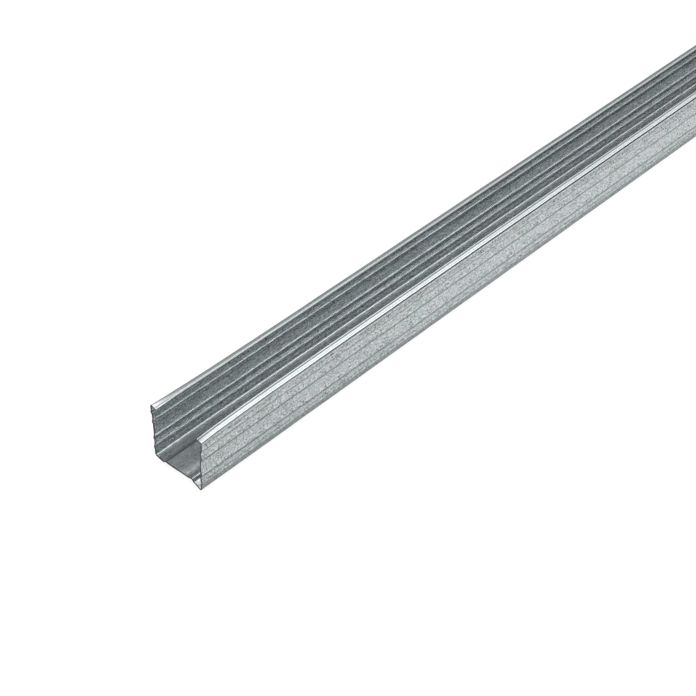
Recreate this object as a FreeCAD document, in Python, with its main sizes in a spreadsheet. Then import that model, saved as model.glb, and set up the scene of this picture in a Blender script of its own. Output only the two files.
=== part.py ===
import FreeCAD, Part
import os
from enum import IntEnum
from math import cos, pi, radians, sin, tan

import Sketcher
from FreeCAD import Vector

# A length of cold-rolled metal stud, lying on its web with the open side up.
# X runs along the stud, Y across the web and Z up from the underside of the web.
# The origin is under the middle of the web, halfway along the length.
# The stud is one strip of thin sheet: web, two flanges and two lips.
# Each flange has four beads, pressed outwards, steep towards the web and gentle towards
# the lip. One half of the section is drawn as the line of the sheet's outer face, which
# is given the sheet's thickness, carried along the length and mirrored.

SIZES = {
    "length": 2600.0,
    "sheet": 0.6,
    "web_width": 48.8,
    "flange_height": 50.0,
    "lip_length": 6.0,
    "bend_radius": 1.2,
    "panel_width": 25.6,
    "panel_rise": 2.0,
    "fold_angle": 45.0,
    "fold_radius": 0.6,
    "bead_rise": 0.95,
    "bead_radius": 0.8,
    "bead_foot_radius": 0.5,
    "bead_steep_angle": 50.0,
    "bead_gentle_angle": 15.0,
    "bead_to_web": 7.6,
    "bead_to_lip": 7.5,
    "bead_pitch": 9.5,
}


class Place(IntEnum):
    """The point of a sketch piece that a constraint holds."""

    START = 1
    END = 2
    CENTRE = 3


class Axis(IntEnum):
    """The sketch's own axes, as a constraint names them."""

    X = -1
    Y = -2


ORIGIN = (Axis.X, Place.START)


def fill_sheet(doc):
    """The driving sizes in millimetres and degrees, one row each, with the name as alias."""
    sheet = doc.addObject("Spreadsheet::Sheet", "Sizes")
    for row, (name, value) in enumerate(SIZES.items(), start=1):
        sheet.set(f"A{row}", name)
        sheet.set(f"B{row}", str(value))
        sheet.setAlias(f"B{row}", name)
    doc.recompute()
    return sheet


class FaceLine:
    """The line of the sheet's outer face, drawn as a tangent chain of lines and arcs."""

    def __init__(self, sketch):
        self.sketch = sketch
        self.last = None

    def join(self, geo, entry, leave):
        """Make the new piece tangent to the end of the one before it."""
        if self.last is not None:
            self.add("Tangent", *self.last, geo, entry)
        self.last = (geo, leave)
        return geo

    def line(self, start, end):
        geo = self.sketch.addGeometry(Part.LineSegment(Vector(*start), Vector(*end)), False)
        return self.join(geo, Place.START, Place.END)

    def arc(self, centre, radius, start_angle, end_angle):
        """An arc, turning left where the angle grows along the line and right where it falls."""
        low, high = sorted((start_angle, end_angle))
        circle = Part.Circle(Vector(*centre), Vector(0, 0, 1), radius)
        geo = self.sketch.addGeometry(Part.ArcOfCircle(circle, low, high), False)
        if end_angle > start_angle:
            return self.join(geo, Place.START, Place.END)
        return self.join(geo, Place.END, Place.START)

    def add(self, kind, *ends):
        return self.sketch.addConstraint(Sketcher.Constraint(kind, *ends))

    def size(self, kind, ends, value, rule):
        """A dimension that follows the sheet of sizes."""
        index = self.sketch.addConstraint(Sketcher.Constraint(kind, *ends, value))
        self.sketch.setExpression(f"Constraints[{index}]", rule)
        return index


def draw_web(chain, s):
    """Half of the web: the raised panel, the folds down from it, and the band beside it."""
    turn = radians(s.fold_angle)
    outer_fold = s.fold_radius + s.sheet
    half_panel = s.panel_width / 2
    fold_drop = (s.fold_radius + outer_fold) * (1 - cos(turn))
    slope_run = (s.panel_rise - fold_drop) / tan(turn)
    slope_top = (
        half_panel + s.fold_radius * sin(turn),
        s.panel_rise - s.fold_radius * (1 - cos(turn)),
    )
    slope_foot = (slope_top[0] + slope_run, outer_fold * (1 - cos(turn)))
    band_start = slope_foot[0] + outer_fold * sin(turn)
    band_end = s.web_width / 2 - s.bend_radius - s.sheet

    panel = chain.line((0, s.panel_rise), (half_panel, s.panel_rise))
    upper = chain.arc((half_panel, s.panel_rise - s.fold_radius), s.fold_radius, pi / 2, pi / 2 - turn)
    slope = chain.line(slope_top, slope_foot)
    lower = chain.arc((band_start, outer_fold), outer_fold, 1.5 * pi - turn, 1.5 * pi)
    band = chain.line((band_start, 0), (band_end, 0))

    chain.add("Horizontal", panel)
    chain.add("PointOnObject", panel, Place.START, Axis.Y)
    chain.size("DistanceY", (*ORIGIN, panel, Place.START), s.panel_rise, "Sizes.panel_rise")
    chain.size("DistanceX", (*ORIGIN, panel, Place.END), half_panel, "Sizes.panel_width / 2")
    chain.size("Radius", (upper,), s.fold_radius, "Sizes.fold_radius")
    chain.size("Angle", (slope,), -turn, "-Sizes.fold_angle")
    chain.size("Radius", (lower,), outer_fold, "Sizes.fold_radius + Sizes.sheet")
    chain.add("Horizontal", band)
    chain.add("PointOnObject", band, Place.START, Axis.X)


def flank_run(s, angle):
    """Height that one flank of a bead takes up: its foot arc, its slope and its part of the crown."""
    turn = radians(angle)
    reach = s.bead_foot_radius + s.bead_radius + s.sheet
    slope_rise = s.bead_rise - reach * (1 - cos(turn))
    return reach * sin(turn) + slope_rise / tan(turn)


def draw_bead(chain, s, height):
    """One rolled bead: foot arc, steep slope, crown, gentle slope and the other foot arc."""
    face = s.web_width / 2
    foot = s.bead_foot_radius
    crown = s.bead_radius + s.sheet
    steep = radians(s.bead_steep_angle)
    gentle = radians(s.bead_gentle_angle)
    crown_x = face + s.bead_rise - crown
    low = height - flank_run(s, s.bead_steep_angle)
    high = height + flank_run(s, s.bead_gentle_angle)

    return {
        "low_foot": chain.arc((face + foot, low), foot, pi, pi - steep),
        "steep": chain.line(
            (face + foot * (1 - cos(steep)), low + foot * sin(steep)),
            (crown_x + crown * cos(steep), height - crown * sin(steep)),
        ),
        "crown": chain.arc((crown_x, height), crown, -steep, gentle),
        "gentle": chain.line(
            (crown_x + crown * cos(gentle), height + crown * sin(gentle)),
            (face + foot * (1 - cos(gentle)), high - foot * sin(gentle)),
        ),
        "high_foot": chain.arc((face + foot, high), foot, pi + gentle, pi),
    }


def size_first_bead(chain, s, flat, bead):
    """The first bead and the flat below it take their sizes from the sheet."""
    face = s.web_width / 2
    crown = s.bead_radius + s.sheet
    chain.size("DistanceX", (*ORIGIN, flat, Place.START), face, "Sizes.web_width / 2")
    chain.size(
        "DistanceX", (*ORIGIN, bead["crown"], Place.CENTRE), face + s.bead_rise - crown,
        "Sizes.web_width / 2 + Sizes.bead_rise - Sizes.bead_radius - Sizes.sheet",
    )
    chain.size("Radius", (bead["crown"],), crown, "Sizes.bead_radius + Sizes.sheet")
    chain.size("Radius", (bead["low_foot"],), s.bead_foot_radius, "Sizes.bead_foot_radius")
    chain.size(
        "Angle", (bead["steep"],), pi / 2 - radians(s.bead_steep_angle),
        "90 - Sizes.bead_steep_angle",
    )
    chain.size(
        "Angle", (bead["gentle"],), pi / 2 + radians(s.bead_gentle_angle),
        "90 + Sizes.bead_gentle_angle",
    )


def copy_first_bead(chain, first_flat, first, flat, bead):
    """Every further bead is like the first one, and its flat lies in the same face."""
    chain.add("Vertical", first_flat, Place.START, flat, Place.START)
    chain.add("Vertical", first["crown"], Place.CENTRE, bead["crown"], Place.CENTRE)
    chain.add("Equal", first["crown"], bead["crown"])
    chain.add("Equal", first["low_foot"], bead["low_foot"])
    chain.add("Parallel", first["steep"], bead["steep"])
    chain.add("Parallel", first["gentle"], bead["gentle"])


def draw_flange(chain, s):
    """The flange from the corner at the web to the corner at the lip, with its four beads."""
    face = s.web_width / 2
    corner = s.bend_radius + s.sheet
    bead_rules = {
        "Sizes.bead_to_web": s.bead_to_web,
        "Sizes.bead_to_web + Sizes.bead_pitch": s.bead_to_web + s.bead_pitch,
        "Sizes.flange_height - Sizes.bead_to_lip - Sizes.bead_pitch":
            s.flange_height - s.bead_to_lip - s.bead_pitch,
        "Sizes.flange_height - Sizes.bead_to_lip": s.flange_height - s.bead_to_lip,
    }

    web_corner = chain.arc((face - corner, corner), corner, 1.5 * pi, 2 * pi)
    chain.size("Radius", (web_corner,), corner, "Sizes.bend_radius + Sizes.sheet")
    flat_start = corner
    first_flat = None
    first_bead = None
    for rule, height in bead_rules.items():
        flat_end = height - flank_run(s, s.bead_steep_angle)
        flat = chain.line((face, flat_start), (face, flat_end))
        bead = draw_bead(chain, s, height)
        flat_start = height + flank_run(s, s.bead_gentle_angle)
        chain.add("Vertical", flat)
        if first_bead is None:
            first_flat = flat
            first_bead = bead
            size_first_bead(chain, s, flat, bead)
        else:
            copy_first_bead(chain, first_flat, first_bead, flat, bead)
        chain.add("Equal", first_bead["low_foot"], bead["high_foot"])
        chain.size("DistanceY", (*ORIGIN, bead["crown"], Place.CENTRE), height, rule)

    flat = chain.line((face, flat_start), (face, s.flange_height - corner))
    chain.add("Vertical", flat)
    chain.add("Vertical", first_flat, Place.START, flat, Place.START)
    return web_corner


def draw_lip(chain, s, web_corner):
    """The corner at the top of the flange and the lip that is turned inwards from it."""
    corner = s.bend_radius + s.sheet
    corner_x = s.web_width / 2 - corner
    top_corner = chain.arc((corner_x, s.flange_height - corner), corner, 0, pi / 2)
    lip_end = s.web_width / 2 - s.lip_length
    lip = chain.line((corner_x, s.flange_height), (lip_end, s.flange_height))
    chain.add("Equal", web_corner, top_corner)
    chain.add("Horizontal", lip)
    chain.size("DistanceY", (*ORIGIN, lip, Place.END), s.flange_height, "Sizes.flange_height")
    chain.size(
        "DistanceX", (*ORIGIN, lip, Place.END), lip_end, "Sizes.web_width / 2 - Sizes.lip_length"
    )


def draw_half_section(doc, s):
    """The outer face of half the stud, from the middle of the web to the lip's free edge."""
    sketch = doc.addObject("Sketcher::SketchObject", "half_section")
    section_turn = FreeCAD.Rotation(Vector(0, 1, 0), Vector(0, 0, 1), Vector(1, 0, 0), "XYZ")
    sketch.Placement = FreeCAD.Placement(Vector(0, 0, 0), section_turn)
    chain = FaceLine(sketch)
    draw_web(chain, s)
    web_corner = draw_flange(chain, s)
    draw_lip(chain, s, web_corner)
    return sketch


def roll_stud(doc, sketch):
    """Thickness for the face line, then the length, then the other half."""
    strip = doc.addObject("Part::Offset2D", "half_strip")
    strip.Source = sketch
    strip.Mode = "Skin"
    strip.Fill = True
    strip.setExpression("Value", "-Sizes.sheet")

    half = doc.addObject("Part::Extrusion", "half_stud")
    half.Base = strip
    half.DirMode = "Custom"
    half.Dir = Vector(1, 0, 0)
    half.Solid = True
    half.Symmetric = True
    half.setExpression("LengthFwd", "Sizes.length")

    other_half = doc.addObject("Part::Mirroring", "other_half")
    other_half.Source = half
    other_half.Base = Vector(0, 0, 0)
    other_half.Normal = Vector(0, 1, 0)

    stud = doc.addObject("Part::MultiFuse", "c_stud")
    stud.Label = "c_stud"
    stud.Shapes = [half, other_half]
    stud.Refine = True
    stud.Placement = FreeCAD.Placement()
    return stud


def check(doc, pieces):
    """Stop where a feature failed or a piece isn't one sound solid."""
    for item in doc.Objects:
        if "Invalid" in item.State or "Error" in item.State:
            raise RuntimeError(f"{item.Name} did not rebuild: {item.State}")
    for piece in pieces:
        if piece.Shape.isNull() or not piece.Shape.isValid():
            raise RuntimeError(f"{piece.Label} has no valid shape")
        if len(piece.Shape.Solids) != 1:
            raise RuntimeError(f"{piece.Label} is not one solid")


os.makedirs("parts", exist_ok=True)
document = FreeCAD.newDocument("metal_stud")
sizes = fill_sheet(document)
face_line = draw_half_section(document, sizes)
c_stud = roll_stud(document, face_line)
document.recompute()
check(document, [c_stud])
c_stud.Shape.exportStep(f"parts/{c_stud.Label}.step")
box = c_stud.Shape.BoundBox
print(f"{c_stud.Label}: {box.XLength:.2f} x {box.YLength:.2f} x {box.ZLength:.2f} mm,"
      f" {c_stud.Shape.Volume / 1000:.1f} cm3")
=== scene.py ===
from math import cos, pi, radians, sin, tan

import bpy
import numpy as np
from mathutils import Matrix, Vector


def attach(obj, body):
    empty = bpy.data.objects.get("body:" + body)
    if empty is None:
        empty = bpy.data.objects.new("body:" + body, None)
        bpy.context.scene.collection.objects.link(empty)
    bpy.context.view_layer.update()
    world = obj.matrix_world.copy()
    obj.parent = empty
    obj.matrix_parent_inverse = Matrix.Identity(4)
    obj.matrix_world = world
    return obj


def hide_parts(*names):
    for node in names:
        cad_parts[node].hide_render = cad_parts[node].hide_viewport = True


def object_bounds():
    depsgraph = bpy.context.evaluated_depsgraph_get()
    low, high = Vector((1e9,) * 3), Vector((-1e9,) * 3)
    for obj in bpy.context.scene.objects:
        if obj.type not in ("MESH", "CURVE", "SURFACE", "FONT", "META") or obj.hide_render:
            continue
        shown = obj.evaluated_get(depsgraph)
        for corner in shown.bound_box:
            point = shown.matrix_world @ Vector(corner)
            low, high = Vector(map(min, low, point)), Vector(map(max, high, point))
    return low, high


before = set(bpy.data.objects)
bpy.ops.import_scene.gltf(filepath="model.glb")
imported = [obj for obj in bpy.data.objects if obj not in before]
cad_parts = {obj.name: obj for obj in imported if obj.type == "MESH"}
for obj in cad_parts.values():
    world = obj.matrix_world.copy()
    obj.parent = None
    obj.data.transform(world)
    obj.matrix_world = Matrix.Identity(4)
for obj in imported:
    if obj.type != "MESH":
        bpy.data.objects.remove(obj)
cad_low, cad_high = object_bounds()

# Sizes of the strip, in metres and radians. X runs along the stud, Y across its web, Z up.
LENGTH = cad_high.x - cad_low.x
HEIGHT = cad_high.z - cad_low.z
SHEET = 0.0006
BEND_RADIUS = 0.0012
CORNER = BEND_RADIUS + SHEET
PANEL_WIDTH = 0.0256
PANEL_RISE = 0.002
FOLD_ANGLE = radians(45)
FOLD_RADIUS = 0.0006
BEAD_RISE = 0.00095
BEAD_RADIUS = 0.0008
BEAD_FOOT_RADIUS = 0.0005
BEAD_STEEP_ANGLE = radians(50)
BEAD_GENTLE_ANGLE = radians(15)
BEAD_TO_WEB = 0.0076
BEAD_TO_LIP = 0.0075
BEAD_PITCH = 0.0095
FACE = (cad_high.y - cad_low.y) / 2 - BEAD_RISE

# The lip rises a little from the flange inwards. Along its free edge two narrow strips are
# bent: the first hangs, and the second turns part of the way back.
LIP_LENGTH = 0.0058
LIP_RISE = radians(4)
STRIP_WIDTH = 0.0010
STRIP_RADIUS = 0.0010
STRIP_HANG = radians(13)
STRIP_BACK = radians(12)

# The mesh: stations crowd together over a part of the length at each cut end, and the
# first row of faces, as wide as the burr, is the sheared rim.
END_PART = 0.06
END_STATIONS = 35
END_CROWDING = 1.6
MIDDLE_STATIONS = 130
BURR = 0.0007
SHARP_ANGLE = radians(40)

# The cut ends: the flanges spring apart, the lips hang a little, the web's near band tilts,
# and the cut across the web is a little out of square. Near is the side of negative y.
NEAR_SPRING = 0.0021
FAR_SPRING = 0.0025
NEAR_SPRING_REACH = 0.036
FAR_SPRING_REACH = 0.055
SPRING_POWER = 4
NEAR_LEAN = 0.0004
NEAR_LIP_DROOP = 0.0004
FAR_LIP_DROOP = 0.0011
LIP_DROOP_REACH = 0.012
BAND_TILT = 0.0011
BAND_TILT_REACH = 0.05
BAND_RISE_RUN = 0.006
BAND_FALL_RUN = 0.004
CUT_SLANT = 0.0008
CUT_REACH = 0.006

# The web's panel lies off the middle. What is lower than WEB_TOP belongs to the web.
PANEL_SHIFT = 0.0005
SHIFT_END = 0.021
SHIFT_FADE = 0.005
WEB_TOP = 0.004

# Waves of the thin sheet: size, length, turn over y, turn over z and start. Beyond WAVE_SIDE
# from the middle they go over from up and down to sideways.
WAVES = (
    (0.00005, 0.083, 90, 55, 0.0),
    (0.00003, 0.047, -140, 80, 1.3),
    (0.000015, 0.021, 0, 210, 2.1),
)
WAVE_SIDE = 0.02

# Camera, fitted to the photograph.
CAMERA_PLACE = Vector((-1.8218, -0.62456, 0.91099))
CAMERA_AIM = Vector((-1.14075, -0.01304, 0.025))
CAMERA_ROLL = radians(2.8229)
CAMERA_LENS = 88.382
SENSOR = 36.0
FAR_CLIP = 60

# The studio: long soft lights that hang parallel to the stud. Each stop is an angle about
# the stud's own direction, in degrees from level behind it, over the top, to level in front,
# and the light that comes from there. The shares fade each light by how far its direction
# points along the stud.
BACK_LIGHT = (
    (0, 0.8), (12, 0.6), (25, 0.3), (38, 0.3), (47, 0.4),
    (56, 0.85), (61, 1.9), (65, 2.3), (70, 0.7), (84, 0.0),
)
FRONT_LIGHT = (
    (71, 0.0), (84, 0.7), (108, 0.5), (118, 0.25), (126, 0.3),
    (132, 0.45), (142, 0.25), (152, 0.1), (180, 0.03),
)
TOP_LIGHT = ((80, 0.0), (85, 0.3), (90, 2.4), (95, 3.7), (107, 3.7), (113, 1.0), (118, 0.0))
END_LIGHT = ((140, 0.0), (155, 0.7), (180, 0.7))
BACK_SHARE = ((0.42, 1.2), (0.5, 1.08), (0.6, 1.0), (0.72, 0.85))
FRONT_SHARE = ((0.0, 1.0), (0.42, 0.8), (0.5, 0.75), (0.63, 0.5), (0.72, 0.35))
TOP_SHARE = ((0.0, 0.3), (0.3, 0.35), (0.43, 0.8), (0.5, 1.25), (0.63, 0.9), (0.72, 0.62))
END_SHARE = ((0.48, 1.0), (0.56, 0.0))
HALF_TURN = 180
WHITE = (1, 1, 1, 1)

# Zinc and the sheared edge, each in a cool and a warm tone. The zinc's roughness is given as
# its lowest and highest value.
COOL_ZINC = (0.515, 0.572, 0.57, 1)
WARM_ZINC = (0.545, 0.572, 0.588, 1)
COOL_WEB = (0.61, 0.655, 0.655, 1)
WARM_WEB = (0.63, 0.65, 0.665, 1)
# The sheared edge's dark tone is partly the bare steel's own and partly painted shade at the cut.
COOL_EDGE = (0.10, 0.105, 0.11, 1)
WARM_EDGE = (0.16, 0.155, 0.15, 1)
WEB_ROUGHNESS = (0.26, 0.32)
BEND_ROUGHNESS = (0.18, 0.26)
FLANGE_ROUGHNESS = (0.26, 0.32)
EDGE_ROUGHNESS = 0.55

# How far the mottling goes lighter and darker, and the depth of the relief in metres.
WEB_GRAIN = 1.5
BEND_GRAIN = 0.6
FLANGE_GRAIN = 3.4
EDGE_GRAIN = 0.5
SMOOTH_RELIEF = 0.00006
FLANGE_RELIEF = 0.0001
DIMPLE_DEPTH = 0.0002

# Patterns, in cells for each metre. Streaks are drawn out along the stud, and dimples stand
# closer over the height than along it.
PATCHES = 45.0
EDGE_PATCHES = 300.0
MOTTLING = 620.0
FLANGE_MOTTLING = 860.0
EDGE_MOTTLING = 3000.0
STREAKS = 1600.0
STREAK_STRETCH = (0.012, 1, 1)
DIMPLES = 440.0
DIMPLE_STRETCH = (1, 0, 1.25)
DIMPLE_PATCHES = 130.0

# The dimples: how far they stray from their rows, where their bottom ends and their edge
# begins, and how deep the shallowest are.
DIMPLE_UNEVENNESS = 0.7
DIMPLE_BOTTOM = 0.08
DIMPLE_EDGE = 0.46
SHALLOWEST = 0.35

# Noise is taken to its full range between these levels.
PATCH_LEVELS = (0.38, 0.62)
NOISE_LEVELS = (0.35, 0.65)

# Tone of the flange on the flat and at the bottom of a dimple, and in a painted shade line.
FLAT_TONE = 1.12
DIMPLE_TONE = 0.05
PAINTED_BEAD_SHADE_TONE = 0.35

# Painted shade: dark lines on the outer face of the flanges, beside the beads, where the beads
# shade it: height and strength.
PAINTED_BEAD_SHADES = (
    (0.0052, 0.3), (0.0095, 0.5), (0.0143, 1.0),
    (0.0303, 1.1), (0.0402, 0.8), (0.0461, 0.5),
)
PAINTED_BEAD_SHADE_WIDTH = 0.0012

# Painted shade also lies along the tight fold of the web's panel: its place across the web and
# darkest tone.
FOLD_SHADE_PLACE = 0.0120
FOLD_SHADE_WIDTH = 0.0011
FOLD_SHADE_TONE = 0.35

# The floor. A share of what the camera or the metal sees of it is its own glow, and the rest
# is the studio's light on it. The metal also sees painted shade on it: dark further out from the
# stud behind the cut end, a little darker by the cut end, and a painted contact shadow, darkest
# where the stud touches it. Places across are distances from the stud's middle line.
FLOOR_HALF = 12.0
FLOOR_GREY = (0.8, 0.8, 0.8, 1)
FLOOR_ROUGHNESS = 0.9
FLOOR_GLOSS = 0.1
GLOW = 1.15
GLOW_DARK = 0.1
CAMERA_GLOW_SHARE = 0.74
METAL_GLOW_SHARE = 0.6
DARK_GLOW_SHARE = 0.35
DARK_ACROSS = (0.10, 0.22)
DARK_ALONG = (-1.18, -1.0)
BY_END = (-1.34, -1.0)
BY_END_TONE = (0.65, 0.92)
PAINTED_SHADOW_ACROSS = (0.0255, 0.0325)
PAINTED_SHADOW_TONE = 0.32

# Surfaces of the strip, in the order of its material slots.
WEB, FLANGE, BEND, SHEARED = range(4)


def flank_run(angle):
    """Slope length and height taken by one flank of a bead: with the reach of foot and
    crown arcs R, slope = (rise - R (1 - cos angle)) / sin angle and height = R sin angle
    plus slope times cos angle."""
    reach = BEAD_FOOT_RADIUS + BEAD_RADIUS + SHEET
    slope = (BEAD_RISE - reach * (1 - cos(angle))) / sin(angle)
    return slope, reach * sin(angle) + slope * cos(angle)


def section_runs():
    """Half the section from the middle of the web to the lip: (size, turn, parts, surface).

    A run that doesn't turn is straight, and its size is its length. One that turns is an
    arc, and its size is its radius."""
    outer_fold = FOLD_RADIUS + SHEET
    fold_drop = (FOLD_RADIUS + outer_fold) * (1 - cos(FOLD_ANGLE))
    slope_rise = PANEL_RISE - fold_drop
    fold_run = (FOLD_RADIUS + outer_fold) * sin(FOLD_ANGLE)
    band = FACE - CORNER - PANEL_WIDTH / 2 - fold_run - slope_rise / tan(FOLD_ANGLE)
    runs = [
        (PANEL_WIDTH / 2, 0, 6, WEB),
        (FOLD_RADIUS, -FOLD_ANGLE, 4, WEB),
        (slope_rise / sin(FOLD_ANGLE), 0, 1, WEB),
        (outer_fold, FOLD_ANGLE, 4, WEB),
        (band, 0, 4, WEB),
        (CORNER, pi / 2, 8, BEND),
    ]
    steep_slope, steep_run = flank_run(BEAD_STEEP_ANGLE)
    gentle_slope, gentle_run = flank_run(BEAD_GENTLE_ANGLE)
    heights = (
        BEAD_TO_WEB,
        BEAD_TO_WEB + BEAD_PITCH,
        HEIGHT - BEAD_TO_LIP - BEAD_PITCH,
        HEIGHT - BEAD_TO_LIP,
    )
    reached = CORNER
    for height in heights:
        runs += [
            (height - steep_run - reached, 0, 3, FLANGE),
            (BEAD_FOOT_RADIUS, -BEAD_STEEP_ANGLE, 4, FLANGE),
            (steep_slope, 0, 1, FLANGE),
            (BEAD_RADIUS + SHEET, BEAD_STEEP_ANGLE + BEAD_GENTLE_ANGLE, 6, FLANGE),
            (gentle_slope, 0, 2, FLANGE),
            (BEAD_FOOT_RADIUS, -BEAD_GENTLE_ANGLE, 2, FLANGE),
        ]
        reached = height + gentle_run
    runs += [
        (HEIGHT - CORNER - reached, 0, 2, FLANGE),
        (CORNER, pi / 2 - LIP_RISE, 8, BEND),
        (LIP_LENGTH - CORNER - 2 * STRIP_WIDTH, 0, 3, BEND),
        (STRIP_RADIUS, STRIP_HANG, 2, BEND),
        (STRIP_WIDTH - STRIP_RADIUS * STRIP_HANG, 0, 2, BEND),
        (STRIP_RADIUS, -STRIP_BACK, 2, BEND),
        (STRIP_WIDTH - STRIP_RADIUS * STRIP_BACK, 0, 2, BEND),
    ]
    return runs


def half_section():
    """The outer face of half the section: points (y, z), headings and each chord's surface.

    The heading grows by each arc's turn, and the points are the running sum of chords:
    length times (cos heading, sin heading)."""
    sizes, turns, parts, surfaces = (np.array(column) for column in zip(*section_runs()))
    step = turns / parts
    straight = turns == 0
    chord = np.where(straight, sizes / parts, 2 * sizes * np.sin(np.abs(step) / 2))
    chord = np.repeat(chord, parts)
    step = np.repeat(step, parts)
    heading = np.concatenate(([0.0], np.cumsum(step)))
    middle = heading[:-1] + step / 2
    y = np.concatenate(([0.0], np.cumsum(chord * np.cos(middle))))
    z = PANEL_RISE + np.concatenate(([0.0], np.cumsum(chord * np.sin(middle))))
    return np.stack((y, z), axis=1), heading, np.repeat(surfaces, parts)


def whole_section():
    """Outer and inner face of the section from lip to lip, as two rows of points (y, z),
    and the surface of each stretch between two points.

    The inner face is the outer one moved by the sheet's thickness against its normal,
    (sin heading, -cos heading). The other half is the same with y turned round."""
    half, heading, surfaces = half_section()
    normal = np.stack((np.sin(heading), -np.cos(heading)), axis=1)
    inner_half = half - SHEET * normal
    flip = np.array((-1.0, 1.0))
    outer = np.concatenate((half[:0:-1] * flip, half))
    inner = np.concatenate((inner_half[:0:-1] * flip, inner_half))
    return outer, inner, np.concatenate((surfaces[::-1], surfaces))


def stations():
    """Places along X: close together at both cut ends, and further apart between them. The
    distances from an end are the end part's length times an even share to a power."""
    near = LENGTH * END_PART
    steps = np.linspace(BURR / near, 1, END_STATIONS) ** END_CROWDING * near
    steps = np.concatenate(([0.0], steps))
    steps[1] = BURR
    middle = np.linspace(near, LENGTH - near, MIDDLE_STATIONS)[1:-1]
    return np.concatenate((steps, middle, (LENGTH - steps)[::-1])) - LENGTH / 2


def from_end(x):
    """Distance from the nearer cut end."""
    return LENGTH / 2 - np.abs(x)


def spring(x, y, z):
    """How far the flanges stand outwards near a cut end: spring times height share to a
    power times exp(-distance / reach). The near flange also leans inwards along its whole
    length, by lean times height share."""
    share = np.clip(z / HEIGHT, 0, 1) ** SPRING_POWER
    side = np.clip(y / FACE, -1, 1)
    most = np.where(side < 0, NEAR_SPRING, FAR_SPRING)
    reach = np.where(side < 0, NEAR_SPRING_REACH, FAR_SPRING_REACH)
    lean = NEAR_LEAN * np.clip(-side, 0, 1) * z / HEIGHT
    return side * most * share * np.exp(-from_end(x) / reach) + lean


def lip_droop(x, y, z):
    """How far the lips hang down near a cut end: droop times the share of the lip's length
    from the flange inwards, times exp(-distance / reach)."""
    share = np.clip((FACE - np.abs(y)) / LIP_LENGTH, 0, 1) * (z > HEIGHT - 2 * SHEET)
    droop = np.where(y > 0, FAR_LIP_DROOP, NEAR_LIP_DROOP)
    return -droop * share * np.exp(-from_end(x) / LIP_DROOP_REACH)


def band_tilt(x, y, z):
    """How far the web's near band lifts towards the panel near a cut end: a straight rise
    from the corner on, then a straight fall back to nothing on the panel, times
    exp(-distance / reach)."""
    rise = np.clip((FACE - CORNER + y) / BAND_RISE_RUN, 0, 1)
    fall = np.clip((-y - PANEL_WIDTH / 2 + BAND_FALL_RUN) / BAND_FALL_RUN, 0, 1)
    return BAND_TILT * rise * fall * (z < WEB_TOP) * np.exp(-from_end(x) / BAND_TILT_REACH)


def cut_slant(x, y):
    """How far the cut runs out of square: slant times sin(pi y / face), fading with the
    distance from the end as exp(-distance / reach)."""
    return -CUT_SLANT * np.sin(pi * y / FACE) * np.exp(-from_end(x) / CUT_REACH)


def panel_shift(y, z):
    """How far the web's panel lies off the middle: a shift of the low points. It fades out
    with the share s of the way left as s squared times (3 - 2 s)."""
    share = np.clip((SHIFT_END - np.abs(y)) / SHIFT_FADE, 0, 1)
    return -PANEL_SHIFT * share * share * (3 - 2 * share) * (z < WEB_TOP)


def wave(x, y, z):
    """Slight waves of the thin sheet along its length: a sum of sines in x, with phases that
    change across the section."""
    return sum(
        size * np.sin(2 * pi * x / length + across * y + up * z + start)
        for size, length, across, up, start in WAVES
    )


def make_strip():
    """The rolled strip: the section carried along X on a grid of stations by section points,
    with the waves, the spring and lean of the flanges, the droop of the lips, the band's
    tilt, the panel's shift and the cut's slant added."""
    outer, inner, surfaces = whole_section()
    loop = np.concatenate((outer, inner[::-1]))
    places = stations()
    count = len(loop)
    rows = len(places)
    x, _ = np.meshgrid(places, np.arange(count), indexing="ij")
    y = np.broadcast_to(loop[:, 0], x.shape)
    z = np.broadcast_to(loop[:, 1], x.shape)
    ripple = wave(x, y, z)
    upright = np.clip((np.abs(y) - WAVE_SIDE) / (FACE - WAVE_SIDE), 0, 1)
    rise = np.maximum(ripple, 0) * (1 - upright)
    moved_x = x + cut_slant(x, y)
    moved_y = y + spring(x, y, z) + panel_shift(y, z) + ripple * upright
    moved_z = z + rise + lip_droop(x, y, z) + band_tilt(x, y, z)
    points = np.stack((moved_x, moved_y, moved_z), axis=2).reshape(-1, 3)

    column = np.arange(count)
    following = (column + 1) % count
    row = np.arange(rows - 1)[:, None] * count
    ring = row + count
    sides = (row + column, row + following, ring + following, ring + column)
    sides = np.stack(sides, axis=2)
    out = np.arange(len(outer) - 1)
    back = count - 1 - out
    start_cap = np.stack((out, back, back - 1, out + 1), axis=1)
    end_cap = (rows - 1) * count + start_cap[:, ::-1]
    quads = np.concatenate((sides.reshape(-1, 4), start_cap, end_cap))

    # The first and last row of quads are the sheared rim, like the caps.
    around = np.concatenate((surfaces, [SHEARED], surfaces[::-1], [SHEARED]))
    slots = np.full(len(quads), SHEARED)
    along = np.tile(around, (rows - 1, 1))
    along[[0, -1]] = SHEARED
    slots[:along.size] = along.reshape(-1)

    mesh = bpy.data.meshes.new("stud_strip")
    mesh.from_pydata(points.tolist(), [], quads.tolist())
    mesh.polygons.foreach_set("material_index", slots.astype(np.int32))
    mesh.polygons.foreach_set("use_smooth", np.ones(len(quads), bool))
    mesh.set_sharp_from_angle(angle=SHARP_ANGLE)
    mesh.update()
    piece = bpy.data.objects.new("stud_strip", mesh)
    bpy.context.scene.collection.objects.link(piece)
    return piece


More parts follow.
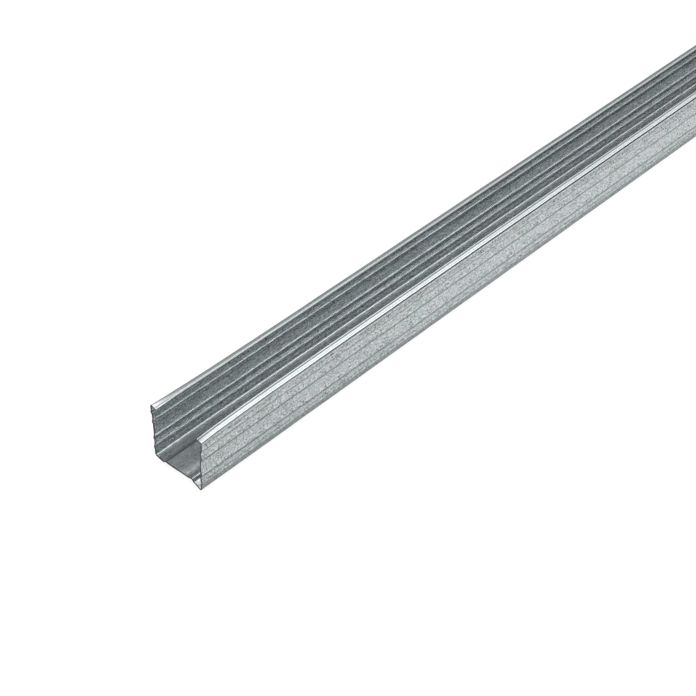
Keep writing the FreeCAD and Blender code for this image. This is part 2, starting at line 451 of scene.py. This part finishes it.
class Nodes:
    """Adds and joins the nodes of one tree. An input is a value or another node's output."""

    def __init__(self, tree):
        self.tree = tree

    def join(self, source, target):
        self.tree.links.new(source, target)

    def add(self, kind, inputs=None, **settings):
        node = self.tree.nodes.new(kind)
        for name, value in settings.items():
            setattr(node, name, value)
        for name, value in (inputs or {}).items():
            if isinstance(value, bpy.types.NodeSocket):
                self.join(value, node.inputs[name])
            else:
                node.inputs[name].default_value = value
        return node

    def group(self, group, inputs=None):
        return self.add("ShaderNodeGroup", inputs, node_tree=group).outputs

    def place(self):
        return self.add("ShaderNodeTexCoord").outputs["Object"]

    def split(self, vector):
        return self.add("ShaderNodeSeparateXYZ", {"Vector": vector}).outputs

    def math(self, operation, *values):
        node = self.add("ShaderNodeMath", dict(enumerate(values)), operation=operation)
        return node.outputs[0]

    def scale(self, colour, factor):
        node = self.add("ShaderNodeVectorMath", {0: colour, "Scale": factor}, operation="SCALE")
        return node.outputs["Vector"]

    def stretch(self, place, scale):
        return self.add("ShaderNodeMapping", {"Vector": place, "Scale": scale}).outputs["Vector"]

    def noise(self, place, scale, **inputs):
        node = self.add("ShaderNodeTexNoise", {"Vector": place, "Scale": scale, **inputs})
        return node.outputs["Fac"]

    def level(self, value, low, high, start=0.0, end=1.0, shape="LINEAR"):
        """A level that goes from start to end while the value goes from low to high."""
        node = self.add(
            "ShaderNodeMapRange",
            {"Value": value, "From Min": low, "From Max": high, "To Min": start, "To Max": end},
            interpolation_type=shape,
        )
        return node.outputs["Result"]

    def bump(self, height, strength, depth, **inputs):
        node = self.add(
            "ShaderNodeBump", {"Height": height, "Strength": strength, "Distance": depth, **inputs}
        )
        return node.outputs["Normal"]

    def from_line(self, value, middle):
        """How far a value is from a line's middle."""
        return self.math("ABSOLUTE", self.math("SUBTRACT", value, middle))


def new_group(name, inputs, outputs):
    """A shader node group with named sockets: inputs as (name, kind, default)."""
    group = bpy.data.node_groups.new(name, "ShaderNodeTree")
    for label, kind, default in inputs:
        socket = group.interface.new_socket(label, in_out="INPUT", socket_type=kind)
        socket.default_value = default
    for label, kind in outputs:
        group.interface.new_socket(label, in_out="OUTPUT", socket_type=kind)
    nodes = Nodes(group)
    given = nodes.add("NodeGroupInput").outputs
    return group, nodes, given, nodes.add("NodeGroupOutput").inputs


def zinc_tone_group():
    """Colour of the zinc: two close greys in soft patches, with fine cloudy mottling."""
    group, nodes, given, result = new_group(
        "zinc_tone",
        [
            ("Cool Grey", "NodeSocketColor", COOL_ZINC),
            ("Warm Grey", "NodeSocketColor", WARM_ZINC),
            ("Patches", "NodeSocketFloat", PATCHES),
            ("Mottling", "NodeSocketFloat", MOTTLING),
            ("Mottling Depth", "NodeSocketFloat", 1.0),
        ],
        [("Color", "NodeSocketColor"), ("Cloud", "NodeSocketFloat")],
    )
    place = nodes.place()
    patch = nodes.noise(place, given["Patches"], Detail=2.0)
    patch = nodes.level(patch, *PATCH_LEVELS)
    base = nodes.add(
        "ShaderNodeMix",
        {"Factor": patch, "A": given["Cool Grey"], "B": given["Warm Grey"]},
        data_type="RGBA",
    )
    cloud = nodes.noise(place, given["Mottling"], Detail=3.0, Roughness=0.6)
    depth = nodes.math("MULTIPLY", nodes.math("SUBTRACT", cloud, 0.5), given["Mottling Depth"])
    gain = nodes.math("ADD", depth, 1.0)
    nodes.join(nodes.scale(base.outputs["Result"], gain), result["Color"])
    nodes.join(cloud, result["Cloud"])
    return group


def rolling_streaks_group():
    """Faint streaks that the rolls leave along the strip: noise drawn out along X."""
    group, nodes, given, result = new_group(
        "rolling_streaks",
        [
            ("Streaks Across", "NodeSocketFloat", STREAKS),
            ("Low", "NodeSocketFloat", 0.0),
            ("High", "NodeSocketFloat", 1.0),
        ],
        [("Streak", "NodeSocketFloat")],
    )
    drawn = nodes.stretch(nodes.place(), STREAK_STRETCH)
    streak = nodes.noise(drawn, given["Streaks Across"], Detail=2.0)
    streak = nodes.level(streak, *NOISE_LEVELS, given["Low"], given["High"])
    nodes.join(streak, result["Streak"])
    return group


def pressed_dimples_group():
    """Height of the small dimples pressed in staggered rows, with some pressed less deep, and
    a mask that is 1 at the bottom of the deepest."""
    group, nodes, given, result = new_group(
        "pressed_dimples",
        [
            ("Dimples", "NodeSocketFloat", DIMPLES),
            ("Unevenness", "NodeSocketFloat", DIMPLE_UNEVENNESS),
            ("Edge", "NodeSocketFloat", DIMPLE_EDGE),
        ],
        [("Height", "NodeSocketFloat"), ("Mask", "NodeSocketFloat")],
    )
    place = nodes.place()
    flat = nodes.stretch(place, DIMPLE_STRETCH)
    cell = nodes.add(
        "ShaderNodeTexVoronoi",
        {"Vector": flat, "Scale": given["Dimples"], "Randomness": given["Unevenness"]},
    )
    off = cell.outputs["Distance"]
    pressed = nodes.level(off, DIMPLE_BOTTOM, given["Edge"], shape="SMOOTHSTEP")
    patchy = nodes.noise(place, DIMPLE_PATCHES, Detail=1.0)
    depth = nodes.level(patchy, *NOISE_LEVELS, start=SHALLOWEST)
    deep = nodes.math("MULTIPLY", nodes.math("SUBTRACT", 1.0, pressed), depth)
    nodes.join(nodes.math("SUBTRACT", 1.0, deep), result["Height"])
    nodes.join(deep, result["Mask"])
    return group


def painted_bead_shade_group():
    """Painted shade lines along the outer face of the flanges, beside the beads: straight ramps up
    and down over the height, kept to faces that look away from the stud's middle."""
    group, nodes, given, result = new_group(
        "painted_bead_shade", [("Width", "NodeSocketFloat", PAINTED_BEAD_SHADE_WIDTH)], [("Mask", "NodeSocketFloat")]
    )
    place = nodes.add("ShaderNodeTexCoord").outputs
    parts = nodes.split(place["Object"])
    facing = nodes.split(place["Normal"])
    outer = nodes.math("GREATER_THAN", nodes.math("MULTIPLY", facing["Y"], parts["Y"]), 0.0)
    lines = 0.0
    for height, strength in PAINTED_BEAD_SHADES:
        line = nodes.level(nodes.from_line(parts["Z"], height), 0.0, given["Width"], strength, 0.0)
        lines = nodes.math("MAXIMUM", lines, line)
    nodes.join(nodes.math("MULTIPLY", lines, outer), result["Mask"])
    return group


def painted_fold_shade_group():
    """Painted shade along the fold: a straight ramp up on both sides of it."""
    group, nodes, given, result = new_group(
        "painted_fold_shade",
        [
            ("Place", "NodeSocketFloat", FOLD_SHADE_PLACE),
            ("Width", "NodeSocketFloat", FOLD_SHADE_WIDTH),
            ("Darkest", "NodeSocketFloat", FOLD_SHADE_TONE),
        ],
        [("Tone", "NodeSocketFloat")],
    )
    off = nodes.from_line(nodes.split(nodes.place())["Y"], given["Place"])
    nodes.join(nodes.level(off, 0.0, given["Width"], given["Darkest"]), result["Tone"])
    return group


def new_material(name, metallic):
    material = bpy.data.materials.new(name)
    material.use_nodes = True
    shader = material.node_tree.nodes["Principled BSDF"]
    shader.inputs["Metallic"].default_value = metallic
    return material, Nodes(material.node_tree), shader


def smooth_zinc(name, groups, roughness, grain, cool, warm):
    """Zinc that the rolls have left smooth, with faint streaks and cloudy mottling."""
    material, nodes, shader = new_material(name, 1.0)
    low, high = roughness
    colour = nodes.group(
        groups["tone"], {"Cool Grey": cool, "Warm Grey": warm, "Mottling Depth": grain}
    )
    streak = nodes.group(groups["streaks"], {"Low": low, "High": high})
    # Painted shade along the web's fold darkens the colour here.
    painted_shade = nodes.group(groups["fold"])["Tone"]
    nodes.join(nodes.scale(colour["Color"], painted_shade), shader.inputs["Base Color"])
    nodes.join(streak["Streak"], shader.inputs["Roughness"])
    nodes.join(nodes.bump(colour["Cloud"], 0.25, SMOOTH_RELIEF), shader.inputs["Normal"])
    return material


def dimpled_zinc(name, groups, roughness, grain, cool, warm):
    """Zinc with the small dimples that the patterned rolls press into the flanges. Each
    dimple's bottom is darker, and fine grains between them are lighter and darker."""
    material, nodes, shader = new_material(name, 1.0)
    low, high = roughness
    colour = nodes.group(
        groups["tone"],
        {
            "Cool Grey": cool, "Warm Grey": warm,
            "Mottling": FLANGE_MOTTLING, "Mottling Depth": grain,
        },
    )
    streak = nodes.group(groups["streaks"], {"Low": low, "High": high})
    pressed = nodes.group(groups["dimples"])
    shade = nodes.level(pressed["Mask"], 0.0, 1.0, FLAT_TONE, DIMPLE_TONE)
    # Painted shade: darker lines beside the beads on the flanges' outer face.
    painted_shade = nodes.level(nodes.group(groups["lines"])["Mask"], 0.0, 1.0, 1.0, PAINTED_BEAD_SHADE_TONE)
    tone = nodes.scale(nodes.scale(colour["Color"], shade), painted_shade)
    nodes.join(tone, shader.inputs["Base Color"])
    nodes.join(streak["Streak"], shader.inputs["Roughness"])
    cloudy = nodes.bump(colour["Cloud"], 0.5, FLANGE_RELIEF)
    bumpy = nodes.bump(pressed["Height"], 0.7, DIMPLE_DEPTH, Normal=cloudy)
    nodes.join(bumpy, shader.inputs["Normal"])
    return material


def sheared_steel(name, groups, roughness, grain, cool, warm):
    """The bare edge of the sheet where it was sheared: darker and duller than the zinc, partly as
    bare steel and partly as painted shade at the cut.
    """
    material, nodes, shader = new_material(name, 1.0)
    colour = nodes.group(
        groups["tone"],
        {
            "Cool Grey": cool, "Warm Grey": warm,
            "Patches": EDGE_PATCHES, "Mottling": EDGE_MOTTLING, "Mottling Depth": grain,
        },
    )
    nodes.join(colour["Color"], shader.inputs["Base Color"])
    shader.inputs["Roughness"].default_value = roughness
    return material


def floor():
    """A pale floor that fills every view. The camera and shiny surfaces see it lit partly by
    itself, so that it is white and still carries the stud's soft shadow."""
    mesh = bpy.data.meshes.new("floor")
    sides = ((-1, -1), (1, -1), (1, 1), (-1, 1))
    corners = [(x * FLOOR_HALF, y * FLOOR_HALF, cad_low.z) for x, y in sides]
    mesh.from_pydata(corners, [], [(0, 1, 2, 3)])
    piece = bpy.data.objects.new("floor", mesh)
    bpy.context.scene.collection.objects.link(piece)
    material, nodes, shader = new_material("floor_white", 0.0)
    shader.inputs["Base Color"].default_value = FLOOR_GREY
    shader.inputs["Roughness"].default_value = FLOOR_ROUGHNESS
    shader.inputs["Specular IOR Level"].default_value = FLOOR_GLOSS
    ray = nodes.add("ShaderNodeLightPath").outputs
    seen = nodes.math("MAXIMUM", ray["Is Camera Ray"], ray["Is Glossy Ray"])
    seen = nodes.math("MAXIMUM", seen, ray["Is Transmission Ray"])
    parts = nodes.split(nodes.place())
    away = nodes.math("ABSOLUTE", parts["Y"])
    # Painted shade that only the metal sees: the floor goes dark further out from the stud behind
    # the cut end.
    dark = nodes.level(away, *DARK_ACROSS, shape="SMOOTHSTEP")
    dark = nodes.math("MULTIPLY", dark, nodes.level(parts["X"], *DARK_ALONG))
    dark = nodes.math("MULTIPLY", dark, ray["Is Glossy Ray"])
    most = nodes.add(
        "ShaderNodeMix",
        {"Factor": ray["Is Camera Ray"], "A": METAL_GLOW_SHARE, "B": CAMERA_GLOW_SHARE},
    )
    share = nodes.math("MULTIPLY", seen, most.outputs["Result"])
    share = nodes.math("MULTIPLY_ADD", dark, DARK_GLOW_SHARE, share)
    # Painted shade by the cut end and a painted contact shadow beside the stud, both seen only by
    # the metal.
    tone = nodes.level(parts["X"], *BY_END, *BY_END_TONE)
    painted_shadow = nodes.level(away, *PAINTED_SHADOW_ACROSS, PAINTED_SHADOW_TONE, 1.0, shape="SMOOTHSTEP")
    tone = nodes.math("MULTIPLY", tone, painted_shadow)
    for_metal = nodes.add("ShaderNodeMix", {"Factor": ray["Is Glossy Ray"], "A": 1.0, "B": tone})
    level = nodes.level(dark, 0.0, 1.0, GLOW, GLOW_DARK)
    level = nodes.math("MULTIPLY", level, for_metal.outputs["Result"])
    glow = nodes.add("ShaderNodeEmission", {"Color": WHITE, "Strength": level})
    mixed = nodes.add(
        "ShaderNodeMixShader", {"Fac": share, 1: shader.outputs[0], 2: glow.outputs[0]}
    )
    nodes.join(mixed.outputs[0], material.node_tree.nodes["Material Output"].inputs["Surface"])
    mesh.materials.append(material)


def ramp(nodes, value, stops, span):
    """A value that goes in straight steps from stop to stop: (place, level), places up to
    span."""
    most = max(level for _, level in stops)
    steps = nodes.add("ShaderNodeValToRGB", {"Fac": value})
    marks = steps.color_ramp.elements
    marks.remove(marks[1])
    for index, (place, level) in enumerate(stops):
        mark = marks[0] if index == 0 else marks.new(place / span)
        mark.position = place / span
        mark.color = (*(3 * (level / most,)), 1)
    return nodes.math("MULTIPLY", steps.outputs["Color"], most)


def studio():
    """Soft studio light from the world: each light's level by the angle of the direction
    about the stud, times its share along the stud. The camera itself sees plain white."""
    world = bpy.data.worlds.new("studio")
    world.use_nodes = True
    nodes = Nodes(world.node_tree)
    light = world.node_tree.nodes["Background"]
    parts = nodes.split(nodes.add("ShaderNodeTexCoord").outputs["Generated"])
    half_turns = nodes.math("DIVIDE", nodes.math("ARCTAN2", parts["Z"], parts["Y"]), pi)
    along = nodes.math("ABSOLUTE", parts["X"])
    lights = (
        (BACK_LIGHT, BACK_SHARE),
        (FRONT_LIGHT, FRONT_SHARE),
        (TOP_LIGHT, TOP_SHARE),
        (END_LIGHT, END_SHARE),
    )
    level = 0.0
    for stops, shares in lights:
        lit = ramp(nodes, half_turns, stops, HALF_TURN)
        level = nodes.math("MULTIPLY_ADD", lit, ramp(nodes, along, shares, 1), level)
    light.inputs["Color"].default_value = WHITE
    nodes.join(level, light.inputs["Strength"])
    white = nodes.add("ShaderNodeBackground", {"Color": WHITE, "Strength": 1.0})
    camera_ray = nodes.add("ShaderNodeLightPath").outputs["Is Camera Ray"]
    mixed = nodes.add(
        "ShaderNodeMixShader", {"Fac": camera_ray, 1: light.outputs[0], 2: white.outputs[0]}
    )
    nodes.join(mixed.outputs[0], world.node_tree.nodes["World Output"].inputs["Surface"])
    bpy.context.scene.world = world


def camera():
    """The photograph's view: place, aim and roll, with the lens for a square picture."""
    data = bpy.data.cameras.new("camera")
    data.lens = CAMERA_LENS
    data.sensor_width = SENSOR
    data.clip_end = FAR_CLIP
    piece = bpy.data.objects.new("camera", data)
    bpy.context.scene.collection.objects.link(piece)
    turn = (CAMERA_AIM - CAMERA_PLACE).to_track_quat("-Z", "Y").to_matrix()
    roll = Matrix.Rotation(CAMERA_ROLL, 3, "Z")
    piece.matrix_world = Matrix.Translation(CAMERA_PLACE) @ (turn @ roll).to_4x4()
    bpy.context.scene.camera = piece


groups = {
    "tone": zinc_tone_group(),
    "streaks": rolling_streaks_group(),
    "dimples": pressed_dimples_group(),
    "lines": painted_bead_shade_group(),
    "fold": painted_fold_shade_group(),
}
strip = make_strip()
for material in (
    smooth_zinc("web_zinc", groups, WEB_ROUGHNESS, WEB_GRAIN, COOL_WEB, WARM_WEB),
    dimpled_zinc("flange_zinc", groups, FLANGE_ROUGHNESS, FLANGE_GRAIN, COOL_ZINC, WARM_ZINC),
    smooth_zinc("bend_zinc", groups, BEND_ROUGHNESS, BEND_GRAIN, COOL_ZINC, WARM_ZINC),
    sheared_steel("sheared_edge", groups, EDGE_ROUGHNESS, EDGE_GRAIN, COOL_EDGE, WARM_EDGE),
):
    strip.data.materials.append(material)
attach(strip, "root")
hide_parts("c_stud")
floor()
studio()
camera()
bpy.context.scene.view_settings.view_transform = "Standard"
